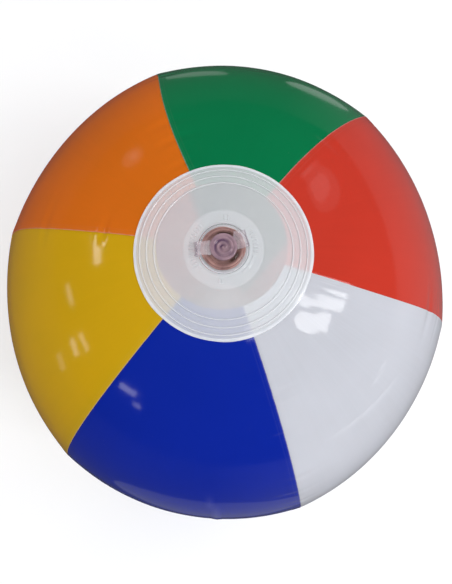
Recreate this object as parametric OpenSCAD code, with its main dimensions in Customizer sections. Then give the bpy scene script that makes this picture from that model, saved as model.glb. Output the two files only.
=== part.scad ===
// Inflatable beach ball with six coloured film panels, two round end discs and a push-in air valve.
// Millimetres. +Z runs up the valve's axis, and +X runs along the seam between the red and white panels.
// The origin is the middle of the flat patch on which the ball rests.

/* [Ball] */
// Outer diameter of the inflated panels
ball_d = 320; // [240:1:400]
// Thickness of the panel film
film_t = 0.3; // [0.25:0.05:0.5]
// Width of the hem that each panel laps under its neighbour
hem_w = 5; // [3:0.5:8]

/* [End discs] */
// Diameter of each end disc
disc_d = 82; // [76:1:100]
// Thickness of the end disc film
disc_t = 0.4; // [0.3:0.05:0.6]
// Diameter of the opening left between the panels' ends under each disc
opening_d = 59; // [52:1:62]
// Diameter of the flat patch that the ball's weight makes on the floor
contact_d = 40; // [30:1:48]
// Height of a weld bead above the disc
bead_h = 0.35; // [0.2:0.05:0.5]

/* [Valve flange and skirt] */
// Outer diameter of the flange, welded under the upper disc
flange_d = 36; // [32:1:44]
// Thickness of the flange
flange_t = 0.9; // [0.7:0.1:1.4]
// Diameter of the hole through the flange and the upper disc
well_d = 23; // [22:0.5:25]
// Thickness of the thin skirt that lets the stem fold in
skirt_t = 0.6; // [0.5:0.1:0.8]
// Depth of the folded-in skirt below the flange
skirt_depth = 8; // [6:0.5:10]

/* [Valve stem] */
// Outer diameter of the stem
stem_d = 14.4; // [13.4:0.2:15.4]
// Diameter of the stem's air bore
bore_d = 8.4; // [7.4:0.1:9]
// Height of the stem's rim above the panels' crown
stem_rise = 1.8; // [1.6:0.1:3]
// Length of the stem below the panels' crown
stem_drop = 14; // [13:0.5:18]
// Diameter of the narrow seat over the check flap
seat_d = 6.4; // [5:0.2:6.8]
// Outer diameter of the tether ring round the stem
ring_d = 19.6; // [18:0.2:20.4]
// Thickness of the check flap
flap_t = 0.4; // [0.3:0.05:0.6]

/* [Valve plug] */
// Diameter of the plug's head
head_d = 12; // [11:0.2:13]
// Height of the plug's head
head_h = 2.6; // [2.2:0.1:3.4]
// Length of the plug's spigot in the bore
spigot_len = 5.9; // [5:0.1:6.5]
// Diameter of the hollow in the plug
hollow_d = 5.2; // [4:0.2:5.6]
// Turn of the strap and pull tab about the valve's axis, in degrees
plug_turn = 15; // [0:5:55]

/* [Hidden] */
$fn = 96;

ball_r = ball_d / 2;
disc_r = disc_d / 2;
opening_r = opening_d / 2;
contact_r = contact_d / 2;
well_r = well_d / 2;
stem_r = stem_d / 2;
bore_r = bore_d / 2;
head_r = head_d / 2;
ring_r = ring_d / 2;
cap_r = ball_r + disc_t;
panel_angle = 60;
// Width of the hem's weld to its own panel
hem_anchor = 1.5;
// Gaps between moving pieces, and round the plug's spigot
moving_gap = 0.1;
running_gap = 0.05;
chamfer = 0.5;
ball_fn = 240;
bead_fn = 24;
margin = 1;

// Height of the ball's centre, and of the crown of the panels' sphere
centre_z = sqrt(cap_r * cap_r - contact_r * contact_r);
crown_z = centre_z + ball_r;
rim_z = crown_z + stem_rise;
stem_base_z = crown_z - stem_drop;

// Radii of the weld beads, as fractions of the disc's radius
bead_fractions = [0.93, 0.85, 0.764];

// Thickness of the narrow seat at the stem's foot
seat_t = 2;

// Tether ring
ring_lift = 0.2;
ring_h = 1.3;

// Check flap, and the fixed edge that it is hinged from
flap_r = 5.2;
flap_w = 5;
flap_top_z = stem_base_z - moving_gap;
hinge_gap = 0.6;
flap_tab_l = 1.2;

// Tether strap, a loop from the ring up to the plug's head
strap_w = 6;
strap_t = 0.8;
strap_seat = 0.4;
loop_r = 1.45;
loop_x = ring_r + 0.7;
loop_z = crown_z + 2.15;

// Plug
head_z = rim_z + moving_gap;
spigot_r = bore_r - running_gap;
plug_floor = 1.4;
tab_t = 1.1;
tab_lift = 0.6;
tab_reach = 11;
// Outline of the finger tab, which leans to one side of the strap's line
tab_outline = [[0, -1.6], [tab_reach, -0.4], [9.2, 6.4], [4.6, 7], [0, 4]];

// Height above the ball's centre of a sphere of radius r, at a distance x from its axis
function sphere_z(r, x) = sqrt(r * r - x * x);

// Half section of a spherical film from radius r_in to r_out, no nearer the axis than x_min
module film_section(r_in, r_out, x_min, x_max) {
    intersection() {
        difference() {
            circle(r = r_out, $fn = ball_fn);
            circle(r = r_in, $fn = ball_fn);
        }
        translate([x_min, -cap_r - margin])
            square([x_max - x_min, 2 * (cap_r + margin)]);
    }
}

// One sixth of the ball, with a hem under the neighbour at its first seam
module panel(index) {
    translate([0, 0, centre_z])
        rotate([0, 0, panel_angle * index]) {
            rotate_extrude(angle = panel_angle, $fn = ball_fn)
                film_section(ball_r - film_t, ball_r, opening_r, ball_r + margin);
            intersection() {
                rotate_extrude($fn = ball_fn)
                    film_section(ball_r - 2 * film_t, ball_r - film_t, opening_r, ball_r + margin);
                translate([0, -hem_w, -ball_r])
                    cube([ball_r, hem_w + hem_anchor, 2 * ball_r]);
            }
        }
}

module panel_red() { color("red") panel(0); }
module panel_green() { color("seagreen") panel(1); }
module panel_orange() { color("darkorange") panel(2); }
module panel_yellow() { color("gold") panel(3); }
module panel_blue() { color("mediumblue") panel(4); }
module panel_white() { color("white") panel(5); }

// Half section of an end disc over the panels' ends, with its weld beads
module disc_section(x_min) {
    intersection() {
        film_section(ball_r, cap_r, x_min, disc_r);
        square([disc_r, cap_r + margin]);
    }
    for (fraction = bead_fractions)
        difference() {
            translate([fraction * disc_r, sphere_z(cap_r, fraction * disc_r)])
                circle(r = bead_h, $fn = bead_fn);
            circle(r = ball_r + disc_t / 2, $fn = ball_fn);
        }
}

module upper_disc() {
    color("gainsboro", 0.7)
        translate([0, 0, centre_z])
            rotate_extrude($fn = ball_fn)
                disc_section(well_r);
}

// The lower disc is closed, and flat where the ball stands on it
module lower_disc() {
    flat_inner_r = sqrt(ball_r * ball_r - pow(centre_z - disc_t, 2));
    color("gainsboro", 0.7)
        translate([0, 0, centre_z])
            mirror([0, 0, 1])
                rotate_extrude($fn = ball_fn) {
                    disc_section(contact_r);
                    polygon([[0, centre_z - disc_t], [flat_inner_r, centre_z - disc_t],
                             [contact_r, sphere_z(ball_r, contact_r)], [contact_r, centre_z], [0, centre_z]]);
                }
}

module valve_flange() {
    color("lightgray", 0.6)
        translate([0, 0, centre_z])
            rotate_extrude($fn = ball_fn)
                intersection() {
                    film_section(ball_r - flange_t, ball_r, well_r, flange_d / 2);
                    square([flange_d, cap_r]);
                }
}

// Thin funnel from the flange's hole down to the stem, folded in
module valve_skirt() {
    top_z = centre_z + sphere_z(ball_r, well_r);
    foot_z = top_z - skirt_depth;
    inner_r = stem_r + moving_gap;
    color("lightgray", 0.5)
        rotate_extrude()
            polygon([[well_r, top_z], [well_r, top_z - flange_t], [inner_r + 2 * skirt_t, foot_z - skirt_t],
                     [inner_r, foot_z - skirt_t], [inner_r, foot_z], [inner_r + skirt_t, foot_z],
                     [well_r - skirt_t, top_z]]);
}

module valve_stem() {
    color("mistyrose", 0.6)
        difference() {
            rotate_extrude()
                polygon([[0, stem_base_z], [stem_r, stem_base_z], [stem_r, rim_z - chamfer],
                         [stem_r - chamfer, rim_z], [0, rim_z]]);
            translate([0, 0, stem_base_z + seat_t])
                cylinder(d = bore_d, h = stem_drop + stem_rise);
            translate([0, 0, stem_base_z - margin])
                cylinder(d = seat_d, h = seat_t + 2 * margin);
        }
}

// Ring round the stem that holds the strap's root
module tether_ring() {
    color("rosybrown", 0.7)
        translate([0, 0, crown_z + ring_lift])
            difference() {
                cylinder(r = ring_r, h = ring_h);
                translate([0, 0, -margin])
                    cylinder(r = stem_r, h = ring_h + 2 * margin);
            }
}

// The flap's fixed edge, welded under the stem
module flap_tab() {
    color("whitesmoke", 0.7)
        translate([flap_r + hinge_gap, -flap_w / 2, flap_top_z - flap_t])
            cube([flap_tab_l, flap_w, flap_t + moving_gap]);
}

// Film disc that air pressure holds shut against the seat
module check_flap() {
    color("whitesmoke", 0.7)
        translate([0, 0, flap_top_z - flap_t]) {
            cylinder(r = flap_r, h = flap_t);
            translate([0, -flap_w / 2, 0])
                cube([flap_r, flap_w, flap_t]);
        }
}

// Half of a flat ring, for the loop's bend
module strap_bend() {
    reach = loop_r + strap_t;
    intersection() {
        difference() {
            circle(r = loop_r + strap_t / 2);
            circle(r = loop_r - strap_t / 2);
        }
        translate([-reach, -reach])
            square([reach, 2 * reach]);
    }
}

// Flat strap that loops from the ring up to the plug's head
module tether_strap() {
    color("mistyrose", 0.7)
        rotate([0, 0, plug_turn])
            translate([0, strap_w / 2, 0])
                rotate([90, 0, 0])
                    linear_extrude(strap_w) {
                        translate([-loop_x, loop_z])
                            strap_bend();
                        translate([-loop_x, loop_z + loop_r - strap_t / 2])
                            square([loop_x - head_r + strap_seat, strap_t]);
                        translate([-loop_x, loop_z - loop_r - strap_t / 2])
                            square([loop_x - ring_r - 2 * moving_gap, strap_t]);
                    }
}

// Stopper with a hollow spigot and a finger tab opposite the strap
module valve_plug() {
    color("thistle", 0.7)
        rotate([0, 0, plug_turn])
            difference() {
                union() {
                    translate([0, 0, head_z])
                        rotate_extrude()
                            polygon([[0, 0], [head_r, 0], [head_r, head_h - chamfer],
                                     [head_r - chamfer, head_h], [0, head_h]]);
                    translate([0, 0, head_z - spigot_len])
                        rotate_extrude()
                            polygon([[0, 0], [spigot_r - chamfer, 0], [spigot_r, chamfer],
                                     [spigot_r, spigot_len + chamfer], [0, spigot_len + chamfer]]);
                    translate([0, 0, head_z + tab_lift])
                        linear_extrude(tab_t)
                            polygon(tab_outline);
                }
                translate([0, 0, head_z - spigot_len + plug_floor])
                    cylinder(d = hollow_d, h = spigot_len + head_h);
                // Square slot that the strap's end is welded into
                translate([-head_r - margin, -strap_w / 2, loop_z + loop_r - strap_t / 2])
                    cube([margin + strap_seat, strap_w, strap_t]);
            }
}

panel_red();
panel_green();
panel_orange();
panel_yellow();
panel_blue();
panel_white();
upper_disc();
lower_disc();
valve_flange();
valve_skirt();
valve_stem();
tether_ring();
flap_tab();
check_flap();
tether_strap();
valve_plug();
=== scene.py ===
# Looks of an inflatable beach ball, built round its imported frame. Metres, with +Z up the valve's axis.
import math
import random

import bmesh
import bpy
import numpy as np
from mathutils import Matrix, Quaternion, Vector


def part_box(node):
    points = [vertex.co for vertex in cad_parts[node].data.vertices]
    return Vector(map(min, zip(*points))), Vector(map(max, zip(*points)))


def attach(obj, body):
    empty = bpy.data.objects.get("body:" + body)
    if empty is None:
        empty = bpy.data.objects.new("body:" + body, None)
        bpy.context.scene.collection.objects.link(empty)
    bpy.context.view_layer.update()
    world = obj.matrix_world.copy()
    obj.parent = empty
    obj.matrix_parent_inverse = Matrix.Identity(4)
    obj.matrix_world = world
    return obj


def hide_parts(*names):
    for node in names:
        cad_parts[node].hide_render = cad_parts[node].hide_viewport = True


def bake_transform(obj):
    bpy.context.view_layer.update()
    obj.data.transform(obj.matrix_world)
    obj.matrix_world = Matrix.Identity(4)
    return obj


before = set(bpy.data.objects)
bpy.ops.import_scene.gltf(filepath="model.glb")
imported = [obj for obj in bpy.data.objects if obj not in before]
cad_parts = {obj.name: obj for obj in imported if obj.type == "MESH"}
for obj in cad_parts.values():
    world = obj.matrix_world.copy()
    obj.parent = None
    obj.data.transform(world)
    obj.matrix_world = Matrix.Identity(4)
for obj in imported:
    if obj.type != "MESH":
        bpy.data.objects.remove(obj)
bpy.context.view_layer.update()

MM = 0.001

# ---------------------------------------------------------------- sizes read from the frame

COLOURS = ["red", "green", "orange", "yellow", "blue", "white"]
PANEL_ANGLE = math.radians(60)
panel_boxes = [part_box("panel_" + colour) for colour in COLOURS]
BALL_R = max(high.x for low, high in panel_boxes)
panels_top = max(high.z for low, high in panel_boxes)
panels_low = min(low.z for low, high in panel_boxes)
CENTRE = (panels_top + panels_low) / 2
OPENING_R = math.sqrt(BALL_R ** 2 - (panels_top - CENTRE) ** 2)
CROWN = CENTRE + BALL_R
DISC_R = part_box("upper_disc")[1].x
DISC_T = 0.4 * MM
FILM_T = 0.3 * MM
HEM_W = 5 * MM
CAP_R = BALL_R + DISC_T
CONTACT_R = math.sqrt(CAP_R ** 2 - CENTRE ** 2)
FLANGE_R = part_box("valve_flange")[1].x
WELL_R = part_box("valve_skirt")[1].x
SKIRT_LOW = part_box("valve_skirt")[0].z
SKIRT_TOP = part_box("valve_skirt")[1].z
STEM_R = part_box("valve_stem")[1].x
STEM_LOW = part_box("valve_stem")[0].z
STEM_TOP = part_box("valve_stem")[1].z
RING_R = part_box("tether_ring")[1].x
RING_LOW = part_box("tether_ring")[0].z
RING_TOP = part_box("tether_ring")[1].z
PLUG_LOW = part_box("valve_plug")[0].z
PLUG_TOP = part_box("valve_plug")[1].z
STRAP_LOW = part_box("tether_strap")[0].z
STRAP_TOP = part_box("tether_strap")[1].z
FLAP_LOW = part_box("check_flap")[0].z
FLAP_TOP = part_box("check_flap")[1].z
FLAP_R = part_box("check_flap")[1].x
TAB_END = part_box("flap_tab")[1].x
BORE_R = 4.2 * MM
SEAT_R = 3.2 * MM
SEAT_T = 2 * MM
HEAD_R = 6 * MM
HEAD_LOW = STEM_TOP + 0.1 * MM
PLUG_TURN = math.radians(15)

# ---------------------------------------------------------------- helpers


def smooth(x):
    """0 below 0, 1 above 1, and a smooth step between."""
    x = np.clip(x, 0, 1)
    return x * x * (3 - 2 * x)


def hump(x):
    """A bump of height 1 and about 2 wide."""
    return np.exp(-x * x)


def sphere_z(radius, r):
    """Height of a sphere round the ball's centre, at distance r from its axis."""
    return CENTRE + np.sqrt(radius ** 2 - np.asarray(r) ** 2)


def wrapped(angle):
    """The same angle, from minus to plus half a turn."""
    return (angle + math.pi) % (2 * math.pi) - math.pi


def new_object(name, mesh, material):
    mesh.materials.append(material)
    piece = bpy.data.objects.new(name, mesh)
    bpy.context.scene.collection.objects.link(piece)
    return piece


def finish_mesh(name, points, faces, material, sharp=38, merge=None):
    """A smooth-shaded piece with its normals outwards, and edges over the angle sharp kept crisp."""
    mesh = bpy.data.meshes.new(name)
    mesh.from_pydata(np.asarray(points).reshape(-1, 3).tolist(), [], faces)
    work = bmesh.new()
    work.from_mesh(mesh)
    if merge:
        bmesh.ops.remove_doubles(work, verts=work.verts, dist=merge)
    bmesh.ops.recalc_face_normals(work, faces=work.faces)
    work.to_mesh(mesh)
    work.free()
    mesh.shade_smooth()
    mesh.set_sharp_from_angle(angle=math.radians(sharp))
    return new_object(name, mesh, material)


def store(piece, name, values):
    """Keeps one number for each vertex, which the material reads by its name."""
    layer = piece.data.attributes.new(name, "FLOAT", "POINT")
    layer.data.foreach_set("value", np.asarray(values, np.float32).ravel())


def shell(name, outer, inner, material, wrap=False):
    """A closed film between two grids of points, rows by columns. With wrap, its sides meet."""
    rows, cols = outer.shape[:2]
    index = np.arange(rows * cols).reshape(rows, cols)
    if wrap:
        index = np.hstack([index, index[:, :1]])
    far = index + rows * cols
    a, b, c, d = index[:-1, :-1], index[1:, :-1], index[1:, 1:], index[:-1, 1:]
    quads = [np.stack([a, b, c, d], -1).reshape(-1, 4)]
    quads.append(np.stack([a, d, c, b], -1).reshape(-1, 4) + rows * cols)
    borders = [(index[0], far[0]), (index[-1][::-1], far[-1][::-1])]
    if not wrap:
        borders += [(index[::-1, 0], far[::-1, 0]), (index[:, -1], far[:, -1])]
    for near, back in borders:
        quads.append(np.stack([near[:-1], near[1:], back[1:], back[:-1]], -1))
    faces = np.vstack(quads).tolist()
    return finish_mesh(name, np.vstack([outer.reshape(-1, 3), inner.reshape(-1, 3)]), faces, material)


def on_axis(r, angle, z):
    """Points from distances, angles and heights about the valve's axis."""
    r, angle, z = np.broadcast_arrays(r, angle, z)
    return np.stack([r * np.cos(angle), r * np.sin(angle), z], -1)


def on_ball(polar, longitude, radius):
    """Points from angles about the ball's centre."""
    return on_axis(radius * np.sin(polar), longitude, CENTRE + radius * np.cos(polar))


def rounded(corners, radius, steps=4):
    """A closed outline with each corner rounded."""
    corners = [np.array(c, float) for c in corners]
    out = []
    for before, at, after in zip(corners[-1:] + corners[:-1], corners, corners[1:] + corners[:1]):
        to_before, to_after = before - at, after - at
        cut = min(radius, 0.45 * np.linalg.norm(to_before), 0.45 * np.linalg.norm(to_after))
        start = at + to_before / np.linalg.norm(to_before) * cut
        end = at + to_after / np.linalg.norm(to_after) * cut
        for t in np.linspace(0, 1, steps + 1):
            out.append((1 - t) ** 2 * start + 2 * t * (1 - t) * at + t * t * end)
    return np.array(out)


def lathe(name, profiles, material, segments=128, shift=None, sharp=38):
    """Rings turned from closed outlines of (distance, height). shift gives each point's own (dr, dz)."""
    angle = np.linspace(0, 2 * math.pi, segments, endpoint=False)[:, None]
    points, faces, count = [], [], 0
    for profile in profiles:
        r = np.tile(profile[:, 0], (segments, 1))
        z = np.tile(profile[:, 1], (segments, 1))
        if shift:
            dr, dz = shift(r, z, angle)
            r, z = r + dr, z + dz
        points.append(on_axis(np.maximum(r, 0), angle, z).reshape(-1, 3))
        index = np.arange(r.size).reshape(r.shape) + count
        index = np.vstack([index, index[:1]])
        index = np.hstack([index, index[:, :1]])
        quads = np.stack([index[:-1, :-1], index[1:, :-1], index[1:, 1:], index[:-1, 1:]], -1)
        faces += quads.reshape(-1, 4).tolist()
        count += r.size
    return finish_mesh(name, np.vstack(points), faces, material, sharp, merge=1e-7)


def about_axis(piece):
    """Each vertex's distance from the valve's axis, its angle round the axis and its height."""
    place = np.array([tuple(v.co) for v in piece.data.vertices])
    return np.hypot(place[:, 0], place[:, 1]), np.arctan2(place[:, 1], place[:, 0]), place[:, 2]


def turn(piece, angle):
    """Turns a piece's mesh about the valve's axis."""
    piece.data.transform(Matrix.Rotation(angle, 4, "Z"))
    return piece


# ---------------------------------------------------------------- materials


class Nodes:
    """A material's node tree, with short ways to add nodes and links."""

    def __init__(self, name):
        self.material = bpy.data.materials.new(name)
        self.material.use_nodes = True
        self.tree = self.material.node_tree
        self.shader = self.tree.nodes["Principled BSDF"]
        self.output = self.tree.nodes["Material Output"]
        self.place = self.add("ShaderNodeTexCoord").outputs["Object"]

    def add(self, kind, **settings):
        node = self.tree.nodes.new(kind)
        for key, value in settings.items():
            if key in node.inputs:
                node.inputs[key].default_value = value
            else:
                setattr(node, key, value)
        return node

    def link(self, source, target):
        self.tree.links.new(source, target)

    def noise(self, scale, detail=2.0, rough=0.5, place=None):
        node = self.add("ShaderNodeTexNoise", Scale=scale, Detail=detail, Roughness=rough)
        self.link(place or self.place, node.inputs["Vector"])
        return node.outputs["Fac"]

    def stretched(self, x, y, z):
        node = self.add("ShaderNodeMapping")
        node.inputs["Scale"].default_value = (x, y, z)
        uv = self.add("ShaderNodeTexCoord").outputs["UV"]
        self.link(uv, node.inputs["Vector"])
        return node.outputs["Vector"]

    def ramp(self, source, low, high, to_low=0.0, to_high=1.0):
        node = self.add("ShaderNodeMapRange")
        limits = {"From Min": low, "From Max": high, "To Min": to_low, "To Max": to_high}
        for key, value in limits.items():
            node.inputs[key].default_value = value
        self.link(source, node.inputs["Value"])
        return node.outputs["Result"]

    def attribute(self, name):
        return self.add("ShaderNodeAttribute", attribute_name=name).outputs["Fac"]

    def mix(self, factor, first, second):
        """A colour between first and second. Each is a colour or a socket."""
        node = self.add("ShaderNodeMix", data_type="RGBA")
        self.link(factor, node.inputs["Factor"])
        for socket, value in ((node.inputs[6], first), (node.inputs[7], second)):
            if isinstance(value, bpy.types.NodeSocket):
                self.link(value, socket)
            else:
                socket.default_value = (*value, 1)
        return node.outputs[2]

    def maths(self, operation, first, second):
        node = self.add("ShaderNodeMath", operation=operation)
        for socket, value in zip(node.inputs, (first, second)):
            if isinstance(value, bpy.types.NodeSocket):
                self.link(value, socket)
            else:
                socket.default_value = value
        return node.outputs["Value"]

    def bump(self, height, distance, strength=1.0, under=None):
        node = self.add("ShaderNodeBump", Strength=strength, Distance=distance)
        self.link(height, node.inputs["Height"])
        if under:
            self.link(under, node.inputs["Normal"])
        return node.outputs["Normal"]

    def set(self, **values):
        for key, value in values.items():
            self.shader.inputs[key.replace("_", " ")].default_value = value


def tint(colour, share, towards=1.0):
    """The colour, moved by share towards a grey of that brightness."""
    return tuple(c + (towards - c) * share for c in colour)


def shade(colour, factor):
    """The same colour, lighter or darker."""
    return tuple(min(c * factor, 0.95) for c in colour)


# Share of the light on a panel that comes through the film from behind
GLOW = 0.44


def panel_vinyl(name, colour):
    """Glossy pigmented film: calender streaks, scuffs, pale weld lines, paler folds (stress whitening
    and painted highlight) and some light through it.
    """
    m = Nodes(name)
    patches = m.noise(14, 3, 0.5)
    streaks = m.noise(1, 4, 0.6, m.stretched(40, 1.5, 1))
    body = m.mix(m.ramp(patches, 0.3, 0.7), shade(colour, 0.95), shade(colour, 1.05))
    body = m.mix(m.ramp(streaks, 0.35, 0.75, 0, 0.35), body, shade(colour, 1.05))
    pale = m.maths("MULTIPLY", m.attribute("weld"), m.ramp(m.noise(260, 2), 0.3, 0.6, 0.5, 1))
    body = m.mix(pale, body, tint(colour, 0.38, 0.8))
    # Paler along the folds: stress whitening, and a painted highlight for the light they catch
    body = m.mix(m.attribute("fold"), body, tint(shade(colour, 1.08), 0.10, 0.9))
    specks = m.ramp(m.noise(900, 1), 0.78, 0.82, 0, 0.4)
    body = m.mix(specks, body, tint(colour, 0.12, 0.5))
    m.link(body, m.shader.inputs["Base Color"])
    scuffs = m.noise(1, 3, 0.7, m.stretched(14, 60, 1))
    rough = m.maths("ADD", m.ramp(patches, 0.3, 0.7, 0.075, 0.13), m.ramp(scuffs, 0.62, 0.8, 0, 0.16))
    m.link(rough, m.shader.inputs["Roughness"])
    grain = m.bump(m.noise(420, 2), 0.004 * MM)
    grain = m.bump(streaks, 0.006 * MM, 1.0, grain)
    m.link(m.bump(m.noise(60, 2), 0.10 * MM, 1.0, grain), m.shader.inputs["Normal"])
    m.set(IOR=1.50, Coat_Weight=0.25, Coat_Roughness=0.04)
    through = m.add("ShaderNodeBsdfTranslucent")
    m.link(body, through.inputs["Color"])
    blend = m.add("ShaderNodeMixShader")
    blend.inputs["Fac"].default_value = GLOW
    m.link(m.shader.outputs["BSDF"], blend.inputs[1])
    m.link(through.outputs["BSDF"], blend.inputs[2])
    m.link(blend.outputs["Shader"], m.output.inputs["Surface"])
    return m.material


def disc_vinyl():
    """Milky translucent film, whiter along its welds."""
    m = Nodes("disc_vinyl")
    cloud = m.noise(45, 3)
    body = m.mix(m.ramp(cloud, 0.3, 0.7), (0.93, 0.96, 0.99), (0.96, 0.98, 1.0))
    body = m.mix(m.attribute("weld"), body, (1.0, 1.0, 1.0))
    m.link(body, m.shader.inputs["Base Color"])
    m.link(m.ramp(m.noise(30, 3), 0.3, 0.7, 0.26, 0.34), m.shader.inputs["Roughness"])
    m.link(m.bump(m.noise(300, 2), 0.01 * MM), m.shader.inputs["Normal"])
    m.set(Alpha=0.40, Transmission_Weight=0.20, IOR=1.15, Coat_Weight=0.8, Coat_Roughness=0.04)
    return m.material


def weld_vinyl():
    """Film fused and thickened along a weld: whiter and less clear."""
    m = Nodes("weld_vinyl")
    body = m.mix(m.ramp(m.noise(160, 3), 0.35, 0.65), (0.84, 0.87, 0.92), (0.96, 0.97, 1.0))
    m.link(body, m.shader.inputs["Base Color"])
    m.link(m.ramp(m.noise(240, 2), 0.3, 0.7, 0.08, 0.2), m.shader.inputs["Roughness"])
    m.link(m.bump(m.noise(500, 2), 0.02 * MM), m.shader.inputs["Normal"])
    m.set(Alpha=0.5, IOR=1.5, Coat_Weight=0.8, Coat_Roughness=0.04)
    return m.material


def clear_vinyl(name, colour, deep, alpha, clear, edge=(0.24, 0.13, 0.24), rough=0.1, ripple=0.05):
    """Soft clear moulding: from colour to deep, with painted shade of colour edge where the edge
    attribute marks it, ripples in mm and bubbles.
    """
    m = Nodes(name)
    cloud = m.noise(260, 2)
    body = m.mix(m.ramp(cloud, 0.35, 0.7), colour, deep)
    # Painted shade: the edge attribute mixes in the dark colour edge
    body = m.mix(m.attribute("edge"), body, edge)
    bubbles = m.ramp(m.noise(2600, 1), 0.72, 0.76, 0, 0.3)
    m.link(m.mix(bubbles, body, tint(colour, 0.7)), m.shader.inputs["Base Color"])
    m.link(m.ramp(cloud, 0.3, 0.7, 0.6 * rough, 1.5 * rough), m.shader.inputs["Roughness"])
    m.link(m.bump(m.noise(400, 1), ripple * MM), m.shader.inputs["Normal"])
    m.set(Alpha=alpha, Transmission_Weight=clear, IOR=1.5, Coat_Weight=0.8, Coat_Roughness=0.03)
    return m.material


def floor_paint():
    """Pale matt paint, very slightly uneven."""
    m = Nodes("floor_paint")
    body = m.mix(m.ramp(m.noise(5, 2), 0.3, 0.7), (0.95, 0.95, 0.95), (0.97, 0.97, 0.97))
    m.link(body, m.shader.inputs["Base Color"])
    m.set(Roughness=0.7)
    return m.material


PANEL_COLOURS = {"red": (0.75, 0.062, 0.034), "green": (0.002, 0.267, 0.092),
                 "orange": (0.86, 0.225, 0.012), "yellow": (0.80, 0.515, 0.008),
                 "blue": (0.004, 0.028, 0.47), "white": (0.76, 0.782, 0.835)}

# ---------------------------------------------------------------- the ball's surface

disc_angle = math.asin(DISC_R / BALL_R)
# How far each panel's middle is flatter than the seams, and how far the girth stands off the CAD sphere
GORE_SAG = 0.012 * BALL_R
GIRTH_SPARE = 0.007 * BALL_R
OVAL = 0.018 * BALL_R
OVAL_LONGITUDE = math.radians(98)
BARREL_REACH = math.radians(46)
SEAM_ROUNDING = 0.012
DISC_HOLD = math.radians(3.5)
GATHER_H = 0.16 * MM
GATHER_REACH = 8 * MM
GATHER_WAVES = (19, 31, 44)
# Slow unevenness of the film: height, length, number of waves and seed
FILM_WAVES = ((0.35 * MM, 95 * MM, 7, 3), (0.05 * MM, 34 * MM, 9, 5))
PUCKER_COUNT = 9
PUCKER_SEED = 11
PUCKERS_FROM = 17
# The first seam is smooth for longer beside the valve's disc
FIRST_SEAM_FROM = 42
PUCKERS_TO = 165
# The deepest ones, beside the valve's disc: seam, polar angle, then depth, length and both reaches in mm
DEEP_PUCKERS = [(2, 17, 0.9, 2.2, 5, 8), (3, 21, 0.6, 2.4, 7, 4),
                (5, 26, 0.8, 2.6, 9, 10), (5, 34, 0.6, 3.0, 8, 5)]
# Long fold marks: (polar, longitude) of both ends and the sideways bow in degrees, depth and width in mm
FOLD_MARKS = [((44, 342), (40, 309), 1.0, 0.40, 1.1), ((37, 342), (38, 331), 0.3, 0.25, 0.9),
              ((47, 277), (80, 280), 1.0, -0.6, 1.6), ((60, 150), (104, 140), 2.0, 0.3, 1.6),
              ((58, 40), (80, 12), 2.0, 0.25, 1.5), ((70, 206), (110, 222), -3.0, 0.35, 1.6),
              ((84, 85), (118, 100), 2.0, 0.3, 1.5), ((125, 330), (150, 300), 2.0, 0.35, 1.7),
              ((120, 30), (146, 56), -2.0, 0.35, 1.7), ((128, 170), (152, 200), 2.0, 0.35, 1.7)]


def make_puckers():
    """Short gathers across each seam: where, how deep and long, and their reach on each side."""
    draw = random.Random(PUCKER_SEED)
    seams = []
    for seam in range(len(COLOURS)):
        start = PUCKERS_FROM if seam else FIRST_SEAM_FROM
        seams.append([])
        for _ in range(PUCKER_COUNT):
            at = math.radians(draw.uniform(start, PUCKERS_TO))
            depth, length = draw.uniform(0.15, 0.5) * MM, draw.uniform(2.2, 4.5) * MM
            seams[seam].append((at, depth, length, draw.uniform(5, 15) * MM, draw.uniform(5, 15) * MM))
    for seam, polar, *sizes in DEEP_PUCKERS:
        seams[seam].append((math.radians(polar), *[size * MM for size in sizes]))
    return seams


PUCKERS = make_puckers()


def slow_waves(direction, length, count, seed):
    """A smooth uneven surface of waves about that long, from -1 to 1."""
    draw = random.Random(seed)
    total = 0
    for _ in range(count):
        way = np.array([draw.gauss(0, 1) for _ in range(3)])
        way *= 2 * math.pi * BALL_R / length / np.linalg.norm(way)
        total = total + np.sin(direction @ way + draw.uniform(0, 2 * math.pi))
    return total / count


def seam_puckers(polar, longitude):
    """Height of the gathers: a crease across the seam between two low swells."""
    total = np.zeros_like(polar)
    for seam, gathers in enumerate(PUCKERS):
        turned = wrapped(longitude - seam * PANEL_ANGLE)
        across = BALL_R * np.sin(polar) * turned
        near = np.abs(turned) < PANEL_ANGLE
        for at, depth, length, before, after in gathers:
            along = BALL_R * (polar - at) / length
            reach = np.where(across < 0, before, after)
            total -= near * depth * (1 - 1.6 * along ** 2) * hump(along) * hump(across / reach)
    return total


def pointing(polar, longitude):
    """The direction at two angles in degrees."""
    polar, longitude = math.radians(polar), math.radians(longitude)
    return on_axis(math.sin(polar), longitude, math.cos(polar))


def fold_marks(direction):
    """Height of the marks, and how much each makes the film paler: stress whitening and painted
    highlight.
    """
    total, paler = 0, 0
    for first, last, bow, depth, width in FOLD_MARKS:
        start, end = pointing(*first), pointing(*last)
        middle = (start + end) / np.linalg.norm(start + end)
        side = np.cross(start, end)
        side /= np.linalg.norm(side)
        half = math.acos(np.clip(start @ end, -1, 1)) / 2
        along = np.arcsin(np.clip(direction @ np.cross(side, middle), -1, 1)) / half
        aside = np.arcsin(np.clip(direction @ side, -1, 1))
        across = BALL_R * (aside - math.radians(bow) * (1 - along ** 2))
        mark = (direction @ middle > 0) * hump(across / (width * MM)) * smooth(1.6 * (1 - np.abs(along)))
        total = total - depth * MM * mark
        paler = paler + mark
    return total, np.clip(paler, 0, 1)


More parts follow.
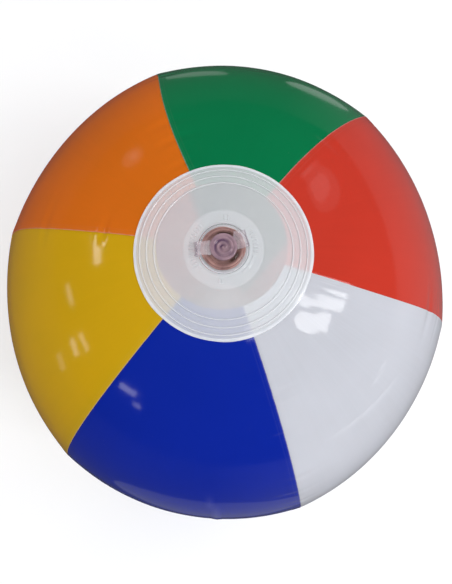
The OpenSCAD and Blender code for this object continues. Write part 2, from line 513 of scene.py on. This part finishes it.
def relief(polar, longitude):
    """How far the panels stand off the sphere: flatter between the seams, gathered beside the discs."""
    from_pole = np.minimum(polar, math.pi - polar)
    past_disc = from_pole - disc_angle
    free = smooth(past_disc / DISC_HOLD)
    direction = on_axis(np.sin(polar), longitude, np.cos(polar))
    share = np.hypot((longitude / PANEL_ANGLE) % 1, SEAM_ROUNDING)
    share = np.minimum(share, 1 - np.minimum(share, 1) + SEAM_ROUNDING)
    sag = GORE_SAG * 4 * share * (1 - share)
    girth = GIRTH_SPARE + OVAL * np.cos(2 * (longitude - OVAL_LONGITUDE))
    barrel = (girth - sag) * smooth(past_disc / BARREL_REACH)
    gathers = sum(np.cos(n * longitude + n) for n in GATHER_WAVES) / len(GATHER_WAVES)
    gathers = GATHER_H * gathers * np.exp(-past_disc * BALL_R / GATHER_REACH)
    waves = sum(height * slow_waves(direction, *wave) for height, *wave in FILM_WAVES)
    puckers, folds = seam_puckers(polar, longitude), fold_marks(direction)[0]
    return barrel + free * (gathers + waves + puckers + folds)


# ---------------------------------------------------------------- panels

PANEL_ROWS = 250
MIDDLE_COLUMNS = 34
# Columns of points beside the seams: distances past the first, and distances before the last
HEM_COLUMNS = np.array([-5, -3.4, -1.8, -0.8, 0, 0.4, 0.8, 1.3, 1.9, 2.7, 3.8, 5.4, 7.4, 9.6]) * MM
LAP_COLUMNS = np.array([9.6, 7.6, 6, 5, 4.2, 3.6, 3.1, 2.7, 2.4, 2.1,
                        1.8, 1.5, 1.2, 0.9, 0.65, 0.4, 0.18, 0]) * MM
LAP_LINES = (1.2 * MM, 2.4 * MM)
LAP_SWELL = 0.10 * MM
EDGE_T = 0.08 * MM
EDGE_TAPER = 1.5 * MM
FILM_GAP = 0.03 * MM
# How far round each panel's first seam leans beside the valve's disc
SEAM_LEAN = np.radians([-2.6, 3.0, 4.4, 1.7, 0.3, 0.8])
LEAN_REACH = math.radians(40)
# The panels' opening is a little off the axis, as the welds under the disc show
OPENING_SHIFT = 2.8 * MM
OPENING_SHIFT_LONGITUDE = math.radians(120)


def panel_grid(index):
    """Polar angles, longitudes, and distances past the first seam and before the last."""
    first = math.asin(OPENING_R / BALL_R)
    row = np.linspace(0, 1, PANEL_ROWS)
    polar = first + (math.pi - 2 * first) * row
    arc = (BALL_R * np.sin(polar))[:, None]
    width = arc * PANEL_ANGLE
    share = np.linspace(0, 1, MIDDLE_COLUMNS + 2)[1:-1]
    start, end = HEM_COLUMNS[-1], width - LAP_COLUMNS[0]
    hem = np.tile(HEM_COLUMNS, (PANEL_ROWS, 1))
    past = np.hstack([hem, start + (end - start) * share, width - LAP_COLUMNS])
    longitude = index * PANEL_ANGLE + past / arc
    shift = OPENING_SHIFT / BALL_R * np.cos(longitude - OPENING_SHIFT_LONGITUDE)
    polar = polar[:, None] + shift * (1 - row[:, None]) ** 14
    return polar, longitude, past, width - past


def seam_lean(polar, longitude):
    """How far a point turns with the nearest seams beside the valve's disc."""
    place = np.degrees(longitude) / 60
    lean = np.interp(place, np.arange(-1, 8), np.take(SEAM_LEAN, np.arange(-1, 8), mode="wrap"))
    return lean * (1 - smooth((polar - disc_angle) / LEAN_REACH))


def panel_faces(polar, longitude, past, before):
    """The two faces' radius. Its hem dips under the neighbour and its lap lies over."""
    from_pole = np.minimum(polar, math.pi - polar)
    open_air = smooth((from_pole - disc_angle) / math.radians(1.2))
    under_lap = EDGE_T + (FILM_T - EDGE_T) * smooth(-past / EDGE_TAPER) + FILM_GAP
    drop = under_lap * (1 - smooth(past / (1.2 * MM)))
    thick = EDGE_T + (FILM_T - EDGE_T) * smooth(before / EDGE_TAPER)
    lines = sum(0.03 * MM * hump((before - line) / (0.24 * MM)) for line in LAP_LINES)
    swell = LAP_SWELL * smooth((HEM_W + EDGE_TAPER - before) / (2 * MM))
    radius = BALL_R - 0.02 * MM + relief(polar, longitude) - drop + open_air * (lines + swell)
    return radius, radius - thick


def panel_marks(piece, polar, longitude, before):
    """Stores where both faces are whitened by the weld, and where the folds make them paler with stress
    whitening and painted highlight.
    """
    lines = sum(hump((before - line) / (0.3 * MM)) for line in LAP_LINES)
    weld = np.maximum(hump(before / (0.35 * MM)), 0.05 * lines)
    fold = fold_marks(on_axis(np.sin(polar), longitude, np.cos(polar)))[1]
    store(piece, "weld", np.tile(weld.ravel(), 2))
    store(piece, "fold", np.tile(fold.ravel(), 2))


def panel_piece(index, colour):
    polar, longitude, past, before = panel_grid(index)
    outer, inner = panel_faces(polar, longitude, past, before)
    real = longitude + seam_lean(polar, longitude)
    piece = shell("film_" + colour, on_ball(polar, real, outer), on_ball(polar, real, inner),
                  panel_material[colour])
    panel_marks(piece, polar, longitude, before)
    across = (past / (past + before)).ravel()
    along = (polar / math.pi).ravel()
    spread_uv(piece, np.tile(across, 2), np.tile(along, 2))
    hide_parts("panel_" + colour)
    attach(piece, "ball")


def spread_uv(piece, u, v):
    """Lays the film out flat: u runs across it and v along it."""
    mesh = piece.data
    corners = np.empty(len(mesh.loops), int)
    mesh.loops.foreach_get("vertex_index", corners)
    layer = mesh.uv_layers.new(name="flat")
    layer.data.foreach_set("uv", np.stack([u[corners], v[corners]], -1).astype(np.float32).ravel())


# ---------------------------------------------------------------- end discs

# Weld rings, as shares of the disc's radius
BEAD_FRACTIONS = (0.93, 0.85, 0.764)
BEAD_H = 0.32 * MM
BEAD_W = 0.30 * MM
FIRST_WELD_R = BEAD_FRACTIONS[-1] * DISC_R
MARK_COUNT = 54
MARK_H = 0.40 * MM
MARK_FROM = 13.2 * MM
MARK_TO = 15.6 * MM
MARK_FADE = 0.4 * MM
MARKS_TURN = math.radians(8)
# A smooth ridge takes the place of the marks on one side, and catches the light
RIDGE_H = 0.28 * MM
RIDGE_TURN = math.radians(-20)
RIDGE_REACH = math.radians(22)


def bead_relief(r):
    """Embossed weld rings, each between two shallow grooves."""
    total = 0
    for fraction in BEAD_FRACTIONS:
        away = (r - fraction * DISC_R) / BEAD_W
        total = total + BEAD_H * hump(away) - 0.3 * BEAD_H * (hump(away - 2.2) + hump(away + 2.2))
    return total


def mark_relief(r, angle):
    """Plain short marks in two long and two short groups, and the smooth ridge."""
    turned = angle - MARKS_TURN
    tall = np.clip(np.cos(MARK_COUNT * angle) * 1.6 - 0.3, 0, 1)
    groups = np.clip(1.6 * np.cos(2 * turned) + 0.2, 0, 1) + (np.cos(4 * turned) > 0.93)
    beside = np.abs(wrapped(angle - RIDGE_TURN))
    marks = MARK_H * tall * groups * smooth((r - MARK_FROM) / MARK_FADE)
    marks = marks * smooth((MARK_TO - r) / MARK_FADE)
    climb = smooth((r - MARK_FROM) / (0.3 * MM))
    slope = np.clip((MARK_FROM + 1.5 * MM - r) / (1.1 * MM), 0, 1)
    ridge = RIDGE_H * np.minimum(climb, slope) * smooth((RIDGE_REACH - beside) / 0.08)
    return marks * smooth((beside - RIDGE_REACH) / 0.08), ridge


def flange_relief(r, angle):
    """What the welded flange presses into the film: its rim, its marks and a lip round the well."""
    rim = 0.12 * MM * (1 - smooth((r - FLANGE_R + MM) / (1.4 * MM)))
    marks, ridge = mark_relief(r, angle)
    lip = 0.45 * MM * hump((r - WELL_R - 0.2 * MM) / (0.55 * MM))
    return rim + marks + lip + ridge


def disc_piece(name, r, angle, outside, inside):
    """A disc's film between two faces, whitened along its weld rings and its rim."""
    piece = shell(name, on_axis(r, angle, outside), on_axis(r, angle, inside), disc_material, wrap=True)
    beads = sum(hump((r - fraction * DISC_R) / (0.33 * MM)) for fraction in BEAD_FRACTIONS)
    weld = beads * 0.5 + 0.75 * smooth((r - 40 * MM) / MM)
    store(piece, "weld", np.tile((np.clip(weld, 0, 1) + 0 * angle).ravel(), 2))
    return piece


def upper_disc():
    """The disc round the valve, with an uneven cut rim and ripples between the flange and the welds."""
    near_well = np.arange(WELL_R, FLANGE_R + 1.2 * MM, 0.2 * MM)
    plain = np.linspace(FLANGE_R + 1.5 * MM, FIRST_WELD_R - 1.6 * MM, 14)
    welded = np.linspace(FIRST_WELD_R - 1.3 * MM, DISC_R, 62)
    r = np.concatenate([near_well, plain, welded])[:, None]
    angle = np.linspace(0, 2 * math.pi, 432, endpoint=False)[None, :]
    edge = 1 + 0.0035 * np.sin(5 * angle + 1) + 0.002 * np.sin(13 * angle)
    r = r * (1 + (edge - 1) * smooth((r - 38.6 * MM) / (2 * MM)))
    ripple = sum(np.cos(n * angle + n) for n in (11, 17, 26)) / 3
    ripple = 0.10 * MM * ripple * smooth((r - FLANGE_R) / (4 * MM))
    ripple = ripple * (1 - smooth((r - 21 * MM) / (4 * MM)))
    rim_round = -0.25 * MM * hump((DISC_R - r) / (0.25 * MM))
    top = sphere_z(CAP_R, r) + bead_relief(r) + flange_relief(r, angle) + ripple + rim_round
    under = sphere_z(BALL_R, r) + ripple + 0 * angle
    piece = disc_piece("disc_film_upper", r, angle, top, under)
    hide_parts("upper_disc")
    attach(piece, "ball")


def lower_disc():
    """The closed disc that the ball stands on, pressed flat where it meets the floor."""
    flat_part = np.linspace(0.05 * MM, CONTACT_R - 0.5 * MM, 16)
    bend = np.linspace(CONTACT_R - 0.2 * MM, CONTACT_R + 2 * MM, 8)
    plain = np.linspace(CONTACT_R + 3 * MM, FIRST_WELD_R - 1.6 * MM, 8)
    welded = np.linspace(FIRST_WELD_R - 1.3 * MM, DISC_R, 62)
    r = np.concatenate([flat_part, bend, plain, welded])[:, None]
    angle = np.linspace(0, 2 * math.pi, 192, endpoint=False)[None, :]
    round_r = np.maximum(r, CONTACT_R)
    outside = 2 * CENTRE - sphere_z(CAP_R, round_r) - bead_relief(r) * (r > CONTACT_R + 4 * MM)
    outside = np.maximum(outside, 0) + 0 * angle
    inside = np.maximum(2 * CENTRE - sphere_z(BALL_R, r), DISC_T) + 0 * angle
    piece = disc_piece("disc_film_lower", r, angle, outside, inside)
    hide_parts("lower_disc")
    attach(piece, "ball")


def weld_rings(name, side):
    """The raised weld beads, and the flash round the disc's rim. side is 1 on top and -1 below."""
    rings = [(fraction * DISC_R, 0.24 * MM, 0.30 * MM) for fraction in BEAD_FRACTIONS]
    rings.append((DISC_R - 0.72 * MM, 0.66 * MM, 0.07 * MM))
    sweep = np.linspace(0, 2 * math.pi, 12, endpoint=False)
    profiles = []
    for at, half_width, half_height in rings:
        r = at + half_width * np.cos(sweep)
        z = sphere_z(CAP_R - 0.03 * MM, r) + half_height * np.sin(sweep)
        profiles.append(np.stack([r, z if side > 0 else 2 * CENTRE - z], -1))
    piece = lathe(name, profiles, weld_material, 320)
    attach(piece, "ball")


# ---------------------------------------------------------------- valve


def flange():
    """The valve's welded base under the disc, with a soft rolled lip inside the well."""
    r = np.linspace(FLANGE_R, WELL_R - 0.1 * MM, 14)
    top = np.stack([r, sphere_z(BALL_R - 0.05 * MM, r)], -1)
    lip_centre = np.array([WELL_R - 0.35 * MM, float(sphere_z(BALL_R, WELL_R)) + 0.1 * MM])
    sweep = np.linspace(math.radians(60), math.radians(260), 12)
    lip = lip_centre + 0.6 * MM * np.stack([np.cos(sweep), np.sin(sweep)], -1)
    under = np.stack([r[::-1], sphere_z(BALL_R - 0.9 * MM, r[::-1])], -1)
    piece = lathe("valve_flange_moulding", [np.vstack([top, lip, under])], lip_material, 160)
    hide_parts("valve_flange")
    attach(piece, "ball")


def skirt():
    """Thin folding wall from the flange to the stem, which turns inside out as the stem is pulled up."""
    out, foot = WELL_R - 0.8 * MM, STEM_R + 0.15 * MM
    shelf = np.linspace(0, 1, 8)[:-1]
    down = np.linspace(0, 1, 20)
    shelf_r = out - 1.6 * MM * shelf
    shelf_z = SKIRT_TOP - 0.1 * MM - 0.6 * MM * shelf ** 1.5
    r = out - 1.6 * MM - (out - 1.6 * MM - foot) * smooth(down)
    z = SKIRT_TOP - 0.7 * MM - (SKIRT_TOP - SKIRT_LOW - 1.1 * MM) * down
    wall = np.stack([np.append(shelf_r, r), np.append(shelf_z, z)], -1)
    back = wall[::-1] + np.array([0.45 * MM, -0.3 * MM])
    piece = lathe("valve_skirt_film", [np.vstack([wall, back])], skirt_material, 96)
    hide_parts("valve_skirt")
    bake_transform(piece)


# Where the gap beside the plug's head is deepest, and its painted shade darkest
SHADED_GAP_TURNS = np.radians([97, -30])


def paint_gap_shade(piece):
    """Painted shade: darkens the gap beside the plug's head, the foot of the ring's step and the ring's
    edge.
    """
    r, around, z = about_axis(piece)
    turned = [wrapped(around - gap) for gap in SHADED_GAP_TURNS]
    gap = hump((r - HEAD_R - 0.7 * MM) / MM) * np.clip(0.25 + sum(hump(t / 0.55) for t in turned), 0, 1)
    step = 0.7 * hump((r - RING_R + 0.8 * MM) / (0.16 * MM)) * (z < RING_TOP - 0.15 * MM)
    rim = 0.75 * smooth((r - RING_R + 0.12 * MM) / (0.15 * MM)) * (z < RING_TOP - 0.6 * MM)
    store(piece, "edge", np.clip(np.maximum(gap, step + rim), 0, 1))


def stem():
    """Moulded tube with a rounded rim, two faint mould rings and a narrow seat at its foot."""
    outline = [(STEM_R, STEM_LOW), (STEM_R, STEM_TOP), (BORE_R, STEM_TOP), (BORE_R, STEM_LOW + SEAT_T),
               (SEAT_R, STEM_LOW + SEAT_T), (SEAT_R, STEM_LOW)]
    profile = rounded(outline, 0.7 * MM, 5)
    wall = np.linspace(STEM_LOW + MM, STEM_TOP - MM, 24)
    at = np.argmax(profile[:, 1] > STEM_LOW + 2 * MM)
    ring_heights = (RING_LOW - 3 * MM, STEM_LOW + 4 * MM)
    rings = sum(0.12 * MM * hump((wall - z) / (0.35 * MM)) for z in ring_heights)
    profile = np.vstack([profile[:at], np.stack([STEM_R - 0.03 * MM - rings, wall], -1), profile[at:]])
    piece = lathe("valve_stem_tube", [profile], ring_material, 128)
    # Painted shade in the gap by the plug's head and at the ring's step and edge
    paint_gap_shade(piece)
    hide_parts("valve_stem")
    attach(piece, "stem")


def tether_ring():
    """Ring moulded round the stem, with a step on its top and a boss where the strap leaves it."""
    step = RING_TOP - 0.35 * MM
    outline = [(STEM_R - 0.1 * MM, RING_LOW), (RING_R, RING_LOW), (RING_R, step),
               (RING_R - 0.8 * MM, step), (RING_R - MM, RING_TOP), (RING_R - 1.9 * MM, RING_TOP),
               (RING_R - 2.1 * MM, step), (STEM_R - 0.1 * MM, step)]

    def shift(r, z, angle):
        turned = (angle - PLUG_TURN) % (2 * math.pi) - math.pi
        boss = 0.55 * MM * hump(turned / 0.42)
        uneven = 0.10 * MM * np.sin(3 * angle) + 0.07 * MM * np.sin(7 * angle + 1)
        outer = smooth((r - STEM_R - 0.5 * MM) / (1.5 * MM))
        return outer * (boss + uneven), 0 * r

    piece = lathe("tether_ring_moulding", [rounded(outline, 0.3 * MM, 3)], ring_material, 160, shift)
    # Painted shade in the gap by the plug's head and at the ring's step and edge
    paint_gap_shade(piece)
    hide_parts("tether_ring")
    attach(piece, "stem")


SWIRL_PITCH = 2.4 * MM
SWIRL_TURN = math.radians(200)
SWIRL_DEPTH = 0.40 * MM
SWIRL_R = 5.2 * MM
SWIRL_FADE = 0.9 * MM
# The side where the swirl's grooves get the most painted shade
SWIRL_SHADED_SIDE = math.radians(150)


def swirl(r, angle):
    """The spiral wave on the plug's head, from -1 to 1, and its strength."""
    wave = np.cos(2 * math.pi * r / SWIRL_PITCH - angle + SWIRL_TURN)
    strength = smooth((SWIRL_R - r) / SWIRL_FADE) * smooth(r / SWIRL_FADE)
    return np.abs(wave) ** 0.7 * np.sign(wave), strength


def plug():
    """Stopper: a spigot in the stem's bore and a round head with a moulded swirl."""
    spigot = BORE_R - 0.05 * MM
    hollow = 2.6 * MM
    under = rounded([(0, PLUG_LOW), (spigot, PLUG_LOW), (spigot, HEAD_LOW), (HEAD_R, HEAD_LOW),
                     (HEAD_R, PLUG_TOP - 0.1 * MM), (hollow, PLUG_TOP), (0, PLUG_TOP)], 0.55 * MM, 5)
    outer = under[(under[:, 0] > 1e-6) & ~((under[:, 0] < 5.3 * MM) & (under[:, 1] > HEAD_LOW + MM))]
    top_r = np.linspace(5.25 * MM, 0, 44)
    dish = 0.9 * MM * hump(top_r / (2.2 * MM))
    top = np.stack([top_r, PLUG_TOP - 0.02 * MM - dish], -1)
    profile = np.vstack([[(0, PLUG_LOW)], outer, top])

    def shift(r, z, angle):
        on_top = (z > PLUG_TOP - 1.3 * MM) & (r < 5.3 * MM)
        wave, strength = swirl(r, angle)
        return 0 * r, on_top * strength * SWIRL_DEPTH * (wave - 0.6)

    piece = lathe("plug_head", [profile], plug_material, 160, shift, sharp=60)
    r, around, z = about_axis(piece)
    wave, strength = swirl(r, around)
    # Painted shade in the swirl's grooves, strongest towards one side
    toward_shaded_side = 0.5 + 0.5 * np.cos(around - SWIRL_SHADED_SIDE)
    store(piece, "edge", (z > PLUG_TOP - 2 * MM) * strength * np.clip(-wave, 0, 1) * toward_shaded_side)
    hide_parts("valve_plug")
    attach(piece, "plug")


# The finger tab's corners round the plug's axis, before the plug is turned
TAB_CORNERS = np.array([[3.6, -1.8], [11.4, -0.4], [9.8, 6.8], [4.9, 6.9]]) * MM
TAB_T = 0.9 * MM
TAB_LIFT = 0.9 * MM
TAB_CURL = 1.1 * MM


def finger_tab():
    """Thin clear plate that leans off the head, with a raised bead round its edge."""
    along = np.linspace(0, 1, 44)[:, None]
    across = np.linspace(0, 1, 40)[None, :]
    a, b, c, d = TAB_CORNERS
    near = a * (1 - across[..., None]) + d * across[..., None]
    far = b * (1 - across[..., None]) + c * across[..., None]
    flat = near * (1 - along[..., None]) + far * along[..., None]
    edge = np.minimum(np.minimum(across, 1 - across), 1 - along)
    bead = 0.38 * MM * hump((edge - 0.07) / 0.05) - 0.35 * MM * hump(edge / 0.035)
    rise = HEAD_LOW + TAB_LIFT + TAB_CURL * along ** 2 + 0.5 * MM * across * along
    crease = 0.32 * MM * hump((along - 0.30 - 0.45 * (1 - across)) / 0.07)
    wobble = 0.1 * MM * np.sin(9 * along + 4 * across)
    top = np.dstack([flat, rise + TAB_T / 2 + bead + wobble + crease])
    low = np.dstack([flat, rise - TAB_T / 2 - 0.6 * bead])
    piece = turn(shell("plug_finger_tab", top, low, tab_material), PLUG_TURN)
    # Painted shade along the far edge and faintly along the sides, where the clear plate is seen edge-on
    rim = hump((1 - along) / 0.10) + 0.2 * hump(np.minimum(across, 1 - across) / 0.04)
    store(piece, "edge", np.tile(np.clip(rim, 0, 1).ravel(), 2))
    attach(piece, "plug")


STRAP_W = 6.8 * MM
STRAP_T = 0.8 * MM
LOOP_X = RING_R + 0.9 * MM
# Distances from the axis of the small ribs on top of the strap
STRAP_RIBS = (HEAD_R + 0.8 * MM, HEAD_R + 1.7 * MM, LOOP_X - 0.5 * MM, LOOP_X + 0.4 * MM)


def strap_line(low, high):
    """The strap's middle line from the plug's head out, round a bend and back to the ring."""
    bend_r, middle = (high - low) / 2, (low + high) / 2
    start, reach = -HEAD_R + 0.5 * MM, LOOP_X - HEAD_R + 0.5 * MM
    over = [(start - t * reach, high) for t in np.linspace(0, 1, 44)[:-1]]
    bend = [(-LOOP_X - 1.25 * bend_r * math.sin(a), middle + bend_r * math.cos(a))
            for a in np.linspace(0, math.pi, 18)]
    back = [(-LOOP_X + t * (LOOP_X - RING_R + 0.1 * MM), low) for t in np.linspace(0, 1, 5)[1:]]
    return np.array(over + bend + back)


def strap():
    """Flat strap that loops from the ring back over to the plug's head, thicker along its edges."""
    low, high = STRAP_LOW + STRAP_T / 2, STRAP_TOP - STRAP_T / 2
    line = strap_line(low, high)
    way = np.gradient(line, axis=0)
    way /= np.linalg.norm(way, axis=1)[:, None]
    side = np.stack([-way[:, 1], way[:, 0]], -1)
    y = np.linspace(-1, 1, 21)
    waist = 1 - 0.12 * np.sin(np.linspace(0, math.pi, len(line)))
    beads = 0.8 + 0.5 * hump((np.abs(y) - 0.88) / 0.12) - 0.6 * hump((np.abs(y) - 1) / 0.04)
    flat = STRAP_T / 2 * beads
    on_top = line[:, 1] > (low + high) / 2
    ribs = sum(hump((line[:, 0] + at) / (0.2 * MM)) for at in STRAP_RIBS) * on_top

    def face(sign):
        thick = flat + (0.28 * MM * ribs[:, None] if sign < 0 else 0)
        points = np.zeros((len(line), len(y), 3))
        points[..., 0] = line[:, None, 0] + sign * thick * side[:, None, 0]
        points[..., 1] = y * (STRAP_W / 2) * waist[:, None]
        points[..., 2] = line[:, None, 1] + sign * thick * side[:, None, 1]
        return points

    piece = turn(shell("tether_strap_band", face(1), face(-1), tab_material), PLUG_TURN)
    # Painted shade at the bend's outer end and along both edges, where the clear strap is seen edge-on
    outer = smooth((-line[:, 0] - LOOP_X - 0.3 * MM) / (1.2 * MM))[:, None] * 0.7 + 0 * y
    store(piece, "edge", np.tile((outer + 0.25 * hump((np.abs(y) - 1) / 0.08)).ravel(), 2))
    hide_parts("tether_strap")
    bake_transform(piece)


def check_flap():
    """Film valve under the stem: its welded edge stays with the stem, the rest bends off the seat."""
    t = FLAP_TOP - FLAP_LOW
    across = np.linspace(-1, 1, 25)[None, :]
    along = np.linspace(0, 1, 40)[:, None]
    x = -FLAP_R + (TAB_END + FLAP_R) * along
    round_half = np.sqrt(np.maximum(FLAP_R ** 2 - np.minimum(x, 0) ** 2, (0.3 * MM) ** 2))
    tab_half = 2.5 * MM
    square_half = tab_half + (FLAP_R - tab_half) * (1 - smooth(x / (4.5 * MM)))
    y = across * np.where(x < 0, round_half, square_half)
    weld = 0.06 * MM * np.cos(x * 2 * math.pi / (0.8 * MM)) * (x > FLAP_R + 0.7 * MM)
    top = np.dstack([x + 0 * y, y, FLAP_TOP - 0.02 * MM - np.maximum(weld, 0) + 0 * y])
    low = np.dstack([x + 0 * y, y, FLAP_TOP - 0.02 * MM - t + weld + 0.05 * MM * np.sin(y / MM)])
    piece = shell("check_flap_film", top, low, skirt_material)
    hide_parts("check_flap", "flap_tab")
    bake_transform(piece)


# ---------------------------------------------------------------- floor, lights and camera

BALL_CENTRE = Vector((0, 0, CENTRE))
# Soft boxes: name, azimuth, elevation, width, height and lean as seen from the ball in degrees, and
# brightness. Each one is a reflection on one panel. Those named soft or low are round.
SOFT_BOXES = [("window_left", 357.5, 46.5, 4.6, 26, 4, 9),
              ("window_right", 345.2, 45.7, 7.8, 17, 19, 9),
              ("strip_high", 177, 30, 12, 4, 17, 7),
              ("strip_mid", 194.7, 13.7, 7, 2.2, 15, 3.5),
              ("strip_low", 211, 10.2, 5.5, 3.4, 3, 3.5),
              ("strip_low_right", 211.4, 17, 6.5, 2.2, 10, 4),
              ("strip_faint", 212, -1.6, 5, 4, 0, 1.0),
              ("lamp_blue", 239.2, 25.6, 7.3, 2.8, 9, 5),
              ("lamp_blue_small", 245.4, 22.1, 2.8, 1.6, 0, 4),
              ("soft_red", 54.5, 30, 16, 22, 20, 0.32),
              ("soft_red_core", 56, 30, 8, 14, 20, 0.5),
              ("soft_orange", 137.5, 19, 8, 9, 0, 0.4),
              ("soft_orange_core", 137, 19, 3.5, 4, 0, 0.5),
              ("small_front", 306, 64, 4, 4, 0, 5),
              ("low_back", 78, -27, 15, 10, 18, 0.5),
              ("low_back_left", 108, -25, 14, 8, -16, 0.35),
              ("low_front", 278, -40, 46, 26, 0, 0.16)]
# Fills light the film, but don't show in its gloss
FILLS = [("fill_right", 335, 4, 50, 24, 0, 0.9), ("fill_above", 0, 80, 70, 70, 0, 0.5)]
# The sky's brightness, more to the right than to the left, and what the gloss sees above and below
SKY = 0.82
SKY_SLOPE = 0.24
SKY_IN_GLOSS = 0.05
GROUND_IN_GLOSS = 0.10
GROUND_RIGHT_IN_GLOSS = 0.42
BOX_DISTANCE = 1.8


def soft_box(name, azimuth, elevation, wide, tall, lean, brightness):
    """An area light that far round and up from the ball, facing it."""
    a, e = math.radians(azimuth), math.radians(elevation)
    away = Vector((math.cos(a) * math.cos(e), math.sin(a) * math.cos(e), math.sin(e)))
    light = bpy.data.lights.new(name, "AREA")
    light.shape = "ELLIPSE" if name.startswith(("soft", "low")) else "RECTANGLE"
    light.size = 2 * BOX_DISTANCE * math.tan(math.radians(wide) / 2)
    light.size_y = 2 * BOX_DISTANCE * math.tan(math.radians(tall) / 2)
    light.energy = brightness * light.size * light.size_y * math.pi
    lamp = bpy.data.objects.new(name, light)
    lamp.location = BALL_CENTRE + away * BOX_DISTANCE
    lamp.rotation_mode = "QUATERNION"
    lamp.rotation_quaternion = away.to_track_quat("Z", "Y") @ Quaternion((0, 0, 1), math.radians(lean))
    bpy.context.scene.collection.objects.link(lamp)
    return lamp


def lighting():
    for box in SOFT_BOXES:
        soft_box(*box)
    for fill in FILLS:
        soft_box(*fill).visible_glossy = False
    studio_sky()


def studio_sky():
    """A plain bright surround, dimmer to glossy rays so that the soft boxes stand out in the film."""
    world = bpy.data.worlds.new("studio")
    world.use_nodes = True
    nodes, links = world.node_tree.nodes, world.node_tree.links
    way = nodes.new("ShaderNodeSeparateXYZ")
    links.new(nodes.new("ShaderNodeTexCoord").outputs["Generated"], way.inputs["Vector"])

    def between(value, low, high, at_low, at_high):
        node = nodes.new("ShaderNodeMapRange")
        keys = ("Value", "From Min", "From Max", "To Min", "To Max")
        for key, given in zip(keys, (value, low, high, at_low, at_high)):
            if isinstance(given, bpy.types.NodeSocket):
                links.new(given, node.inputs[key])
            else:
                node.inputs[key].default_value = given
        return node.outputs["Result"]

    ground = between(way.outputs["X"], 0.1, 0.9, GROUND_IN_GLOSS, GROUND_RIGHT_IN_GLOSS)
    gloss = between(way.outputs["Z"], -0.02, 0.02, ground, SKY_IN_GLOSS)
    sky = between(way.outputs["X"], -1, 1, SKY - SKY_SLOPE, SKY + SKY_SLOPE)
    is_glossy = nodes.new("ShaderNodeLightPath").outputs["Is Glossy Ray"]
    strength = between(is_glossy, 0, 1, sky, gloss)
    links.new(strength, nodes["Background"].inputs["Strength"])
    nodes["Background"].inputs["Color"].default_value = (0.97, 0.98, 1.0, 1)
    bpy.context.scene.world = world
    bpy.context.scene.view_settings.view_transform = "Standard"


FLOOR_HALF = 12


def floor():
    """A plain floor, kept out of the gloss so that the surround lights the film's edge."""
    half = FLOOR_HALF
    corners = [(-half, -half, 0), (half, -half, 0), (half, half, 0), (-half, half, 0)]
    mesh = bpy.data.meshes.new("floor")
    mesh.from_pydata(corners, [], [(0, 1, 2, 3)])
    plane = new_object("floor", mesh, floor_paint())
    plane.visible_glossy = False


# The camera looks almost straight down on the valve, from close by
VIEW_AZIMUTH = math.radians(11.55)
VIEW_ELEVATION = math.radians(83)
VIEW_DISTANCE = 2.2 * BALL_R
LENS = 26.9
SIDE_MOVE = 0.0070 * BALL_R
UP_MOVE = 0.0017 * BALL_R


def camera():
    a, e = VIEW_AZIMUTH, VIEW_ELEVATION
    back = Vector((math.sin(a) * math.cos(e), -math.cos(a) * math.cos(e), math.sin(e)))
    right = Vector((math.cos(a), math.sin(a), 0))
    up = back.cross(right)
    data = bpy.data.cameras.new("camera")
    data.sensor_width = 36
    data.lens = LENS
    data.clip_start = 0.01
    view = bpy.data.objects.new("camera", data)
    place = BALL_CENTRE + back * VIEW_DISTANCE + right * SIDE_MOVE + up * UP_MOVE
    view.matrix_world = Matrix.Translation(place) @ Matrix((right, up, back)).transposed().to_4x4()
    bpy.context.scene.collection.objects.link(view)
    bpy.context.scene.camera = view


# ---------------------------------------------------------------- build

panel_material = {colour: panel_vinyl("vinyl_" + colour, PANEL_COLOURS[colour]) for colour in COLOURS}
disc_material = disc_vinyl()
weld_material = weld_vinyl()
lip_material = clear_vinyl("valve_lip_vinyl", (0.93, 0.93, 0.97), (0.84, 0.84, 0.89), 0.25, 0.1)
skirt_material = clear_vinyl("valve_film_vinyl", (0.95, 0.95, 0.98), (0.88, 0.87, 0.92), 0.9, 0.1)
# Its last colour is the painted shade in the gaps round the ring and the plug's head
ring_material = clear_vinyl("valve_ring_vinyl", (0.56, 0.32, 0.29), (0.32, 0.175, 0.165), 0.9, 0.2,
                            (0.045, 0.020, 0.015))
# Its last colour is the painted shade in the swirl's grooves
plug_material = clear_vinyl("valve_plug_vinyl", (0.50, 0.33, 0.38), (0.33, 0.215, 0.275), 0.85, 0.25,
                            (0.13, 0.065, 0.15))
# Its last colour is the painted shade where the clear tab and strap are seen edge-on
tab_material = clear_vinyl("valve_strap_vinyl", (0.95, 0.90, 0.94), (0.60, 0.50, 0.56), 0.30, 0.2,
                           (0.22, 0.13, 0.20), 0.06, 0.16)

for number, colour in enumerate(COLOURS):
    panel_piece(number, colour)
upper_disc()
lower_disc()
weld_rings("disc_welds_upper", 1)
weld_rings("disc_welds_lower", -1)
flange()
skirt()
stem()
tether_ring()
plug()
finger_tab()
strap()
check_flap()
floor()
lighting()
camera()
